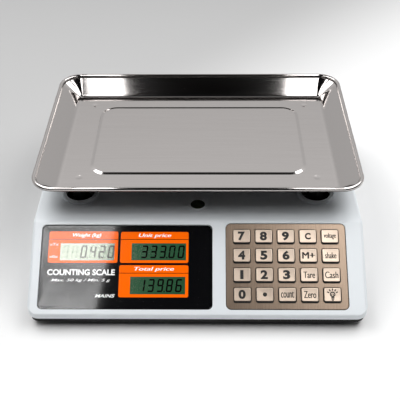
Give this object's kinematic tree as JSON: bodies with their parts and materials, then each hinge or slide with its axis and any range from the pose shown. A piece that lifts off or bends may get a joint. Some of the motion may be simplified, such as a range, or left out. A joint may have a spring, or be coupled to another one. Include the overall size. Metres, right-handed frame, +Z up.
{
  "type": "counting scale",
  "caption": "Electronic counter scale with a lift-off steel tray, a sloped front with display window and metal keypad, and screw feet.",
  "frame": {"origin": "on the table, under the middle of the housing", "axes": "+Z up, -Y towards the keypad and display, +X to the user's right"},
  "size_m": [0.34, 0.33, 0.113],
  "materials": {
    "polished_steel": "mirror-polished stainless sheet",
    "black_rubber": "matt black rubber",
    "black_plastic": "fine-textured black moulding",
    "cast_aluminium": "sand-cast and machined aluminium",
    "steel_screws": "zinc-plated fasteners",
    "zinc_steel": "zinc-plated steel",
    "white_housing": "satin-gloss cool white moulding",
    "window_acrylic": "glossy acrylic, black print behind",
    "printed_film": "orange and black back-printed film",
    "circuit_board": "green solder-resist board",
    "display_glass": "segment display glass",
    "brushed_plate": "brushed champagne-bronze anodised plate",
    "silicone_mat": "grey silicone key mat",
    "key_metal": "satin champagne metal caps, black printed legends",
    "transformer_iron": "laminated iron core with taped coil",
    "battery_case": "sealed battery case",
    "level_vial": "clear vial of tinted spirit",
    "rocker_plastic": "glossy rocker"
  },
  "bodies": {
    "root": {"tray_pads": "black_rubber", "tray_posts": "black_plastic", "platform_spider": "cast_aluminium", "load_cell": "cast_aluminium", "load_cell_bolts": "steel_screws", "cell_mount_plate": "zinc_steel", "overload_stops": "steel_screws", "top_housing": "white_housing", "bottom_base": "black_plastic", "housing_screws": "steel_screws", "front_window": "window_acrylic", "front_mask": "printed_film", "front_display_board": "circuit_board", "rear_window": "window_acrylic", "rear_lcds": "display_glass", "rear_display_board": "circuit_board", "keypad_plate": "brushed_plate", "keypad_mat": "silicone_mat", "keypad_board": "circuit_board", "main_board": "circuit_board", "transformer": "transformer_iron", "battery": "battery_case", "battery_door": "black_plastic", "battery_door_screw": "steel_screws", "spirit_level": "level_vial", "switch_frame": "black_plastic", "mains_inlet": "black_plastic", "lcd_weight": "display_glass", "lcd_unit_price": "display_glass", "lcd_total": "display_glass"},
    "tray": {"weighing_tray": "polished_steel"},
    "rocker": {"power_rocker": "rocker_plastic"},
    "key_7": {"key_7": "key_metal"},
    "key_8": {"key_8": "key_metal"},
    "key_9": {"key_9": "key_metal"},
    "key_clear": {"key_clear": "key_metal"},
    "key_voltage": {"key_voltage": "key_metal"},
    "key_4": {"key_4": "key_metal"},
    "key_5": {"key_5": "key_metal"},
    "key_6": {"key_6": "key_metal"},
    "key_memory_plus": {"key_memory_plus": "key_metal"},
    "key_shake": {"key_shake": "key_metal"},
    "key_1": {"key_1": "key_metal"},
    "key_2": {"key_2": "key_metal"},
    "key_3": {"key_3": "key_metal"},
    "key_tare": {"key_tare": "key_metal"},
    "key_cash": {"key_cash": "key_metal"},
    "key_0": {"key_0": "key_metal"},
    "key_point": {"key_point": "key_metal"},
    "key_count": {"key_count": "key_metal"},
    "key_zero": {"key_zero": "key_metal"},
    "key_light": {"key_light": "key_metal"},
    "foot_pad_1": {"foot_pad_1": "black_rubber"},
    "foot_screw_1": {"foot_screw_1": "zinc_steel"},
    "foot_pad_2": {"foot_pad_2": "black_rubber"},
    "foot_screw_2": {"foot_screw_2": "zinc_steel"},
    "foot_pad_3": {"foot_pad_3": "black_rubber"},
    "foot_screw_3": {"foot_screw_3": "zinc_steel"},
    "foot_pad_4": {"foot_pad_4": "black_rubber"},
    "foot_screw_4": {"foot_screw_4": "zinc_steel"}
  },
  "joints": [
    {"name": "tray_lift", "type": "slide", "parent": "root", "child": "tray", "axis": [0, 0, 1], "range_m": [0, 0.06]},
    {"name": "rocker_turn", "type": "hinge", "parent": "root", "child": "rocker", "pos_m": [0.1584, 0.121, 0.041], "axis": [0, 0, 1], "range_deg": [0, 16]},
    {"name": "key_7_press", "type": "slide", "parent": "root", "child": "key_7", "axis": [0, 0.5466, -0.8374], "range_m": [0, 0.001], "stiffness_N_per_m": 600, "springref_m": -0.0005},
    {"name": "key_8_press", "type": "slide", "parent": "root", "child": "key_8", "axis": [0, 0.5466, -0.8374], "range_m": [0, 0.001], "stiffness_N_per_m": 600, "springref_m": -0.0005},
    {"name": "key_9_press", "type": "slide", "parent": "root", "child": "key_9", "axis": [0, 0.5466, -0.8374], "range_m": [0, 0.001], "stiffness_N_per_m": 600, "springref_m": -0.0005},
    {"name": "key_clear_press", "type": "slide", "parent": "root", "child": "key_clear", "axis": [0, 0.5466, -0.8374], "range_m": [0, 0.001], "stiffness_N_per_m": 600, "springref_m": -0.0005},
    {"name": "key_voltage_press", "type": "slide", "parent": "root", "child": "key_voltage", "axis": [0, 0.5466, -0.8374], "range_m": [0, 0.001], "stiffness_N_per_m": 600, "springref_m": -0.0005},
    {"name": "key_4_press", "type": "slide", "parent": "root", "child": "key_4", "axis": [0, 0.5466, -0.8374], "range_m": [0, 0.001], "stiffness_N_per_m": 600, "springref_m": -0.0005},
    {"name": "key_5_press", "type": "slide", "parent": "root", "child": "key_5", "axis": [0, 0.5466, -0.8374], "range_m": [0, 0.001], "stiffness_N_per_m": 600, "springref_m": -0.0005},
    {"name": "key_6_press", "type": "slide", "parent": "root", "child": "key_6", "axis": [0, 0.5466, -0.8374], "range_m": [0, 0.001], "stiffness_N_per_m": 600, "springref_m": -0.0005},
    {"name": "key_memory_plus_press", "type": "slide", "parent": "root", "child": "key_memory_plus", "axis": [0, 0.5466, -0.8374], "range_m": [0, 0.001], "stiffness_N_per_m": 600, "springref_m": -0.0005},
    {"name": "key_shake_press", "type": "slide", "parent": "root", "child": "key_shake", "axis": [0, 0.5466, -0.8374], "range_m": [0, 0.001], "stiffness_N_per_m": 600, "springref_m": -0.0005},
    {"name": "key_1_press", "type": "slide", "parent": "root", "child": "key_1", "axis": [0, 0.5466, -0.8374], "range_m": [0, 0.001], "stiffness_N_per_m": 600, "springref_m": -0.0005},
    {"name": "key_2_press", "type": "slide", "parent": "root", "child": "key_2", "axis": [0, 0.5466, -0.8374], "range_m": [0, 0.001], "stiffness_N_per_m": 600, "springref_m": -0.0005},
    {"name": "key_3_press", "type": "slide", "parent": "root", "child": "key_3", "axis": [0, 0.5466, -0.8374], "range_m": [0, 0.001], "stiffness_N_per_m": 600, "springref_m": -0.0005},
    {"name": "key_tare_press", "type": "slide", "parent": "root", "child": "key_tare", "axis": [0, 0.5466, -0.8374], "range_m": [0, 0.001], "stiffness_N_per_m": 600, "springref_m": -0.0005},
    {"name": "key_cash_press", "type": "slide", "parent": "root", "child": "key_cash", "axis": [0, 0.5466, -0.8374], "range_m": [0, 0.001], "stiffness_N_per_m": 600, "springref_m": -0.0005},
    {"name": "key_0_press", "type": "slide", "parent": "root", "child": "key_0", "axis": [0, 0.5466, -0.8374], "range_m": [0, 0.001], "stiffness_N_per_m": 600, "springref_m": -0.0005},
    {"name": "key_point_press", "type": "slide", "parent": "root", "child": "key_point", "axis": [0, 0.5466, -0.8374], "range_m": [0, 0.001], "stiffness_N_per_m": 600, "springref_m": -0.0005},
    {"name": "key_count_press", "type": "slide", "parent": "root", "child": "key_count", "axis": [0, 0.5466, -0.8374], "range_m": [0, 0.001], "stiffness_N_per_m": 600, "springref_m": -0.0005},
    {"name": "key_zero_press", "type": "slide", "parent": "root", "child": "key_zero", "axis": [0, 0.5466, -0.8374], "range_m": [0, 0.001], "stiffness_N_per_m": 600, "springref_m": -0.0005},
    {"name": "key_light_press", "type": "slide", "parent": "root", "child": "key_light", "axis": [0, 0.5466, -0.8374], "range_m": [0, 0.001], "stiffness_N_per_m": 600, "springref_m": -0.0005},
    {"name": "foot_1_height", "type": "slide", "parent": "root", "child": "foot_pad_1", "axis": [0, 0, -1], "range_m": [0, 0.005]},
    {"name": "foot_1_turn", "type": "hinge", "parent": "foot_pad_1", "child": "foot_screw_1", "pos_m": [-0.148, -0.143, 0], "axis": [0, 0, -1], "range_deg": [0, 1441]},
    {"name": "foot_2_height", "type": "slide", "parent": "root", "child": "foot_pad_2", "axis": [0, 0, -1], "range_m": [0, 0.005]},
    {"name": "foot_2_turn", "type": "hinge", "parent": "foot_pad_2", "child": "foot_screw_2", "pos_m": [-0.148, 0.143, 0], "axis": [0, 0, -1], "range_deg": [0, 1441]},
    {"name": "foot_3_height", "type": "slide", "parent": "root", "child": "foot_pad_3", "axis": [0, 0, -1], "range_m": [0, 0.005]},
    {"name": "foot_3_turn", "type": "hinge", "parent": "foot_pad_3", "child": "foot_screw_3", "pos_m": [0.148, -0.143, 0], "axis": [0, 0, -1], "range_deg": [0, 1441]},
    {"name": "foot_4_height", "type": "slide", "parent": "root", "child": "foot_pad_4", "axis": [0, 0, -1], "range_m": [0, 0.005]},
    {"name": "foot_4_turn", "type": "hinge", "parent": "foot_pad_4", "child": "foot_screw_4", "pos_m": [0.148, 0.143, 0], "axis": [0, 0, -1], "range_deg": [0, 1441]}
  ],
  "couplings": [
    {"joint": "foot_1_turn", "follows": "foot_1_height", "rad_per_m": 5026.5},
    {"joint": "foot_2_turn", "follows": "foot_2_height", "rad_per_m": 5026.5},
    {"joint": "foot_3_turn", "follows": "foot_3_height", "rad_per_m": 5026.5},
    {"joint": "foot_4_turn", "follows": "foot_4_height", "rad_per_m": 5026.5}
  ]
}
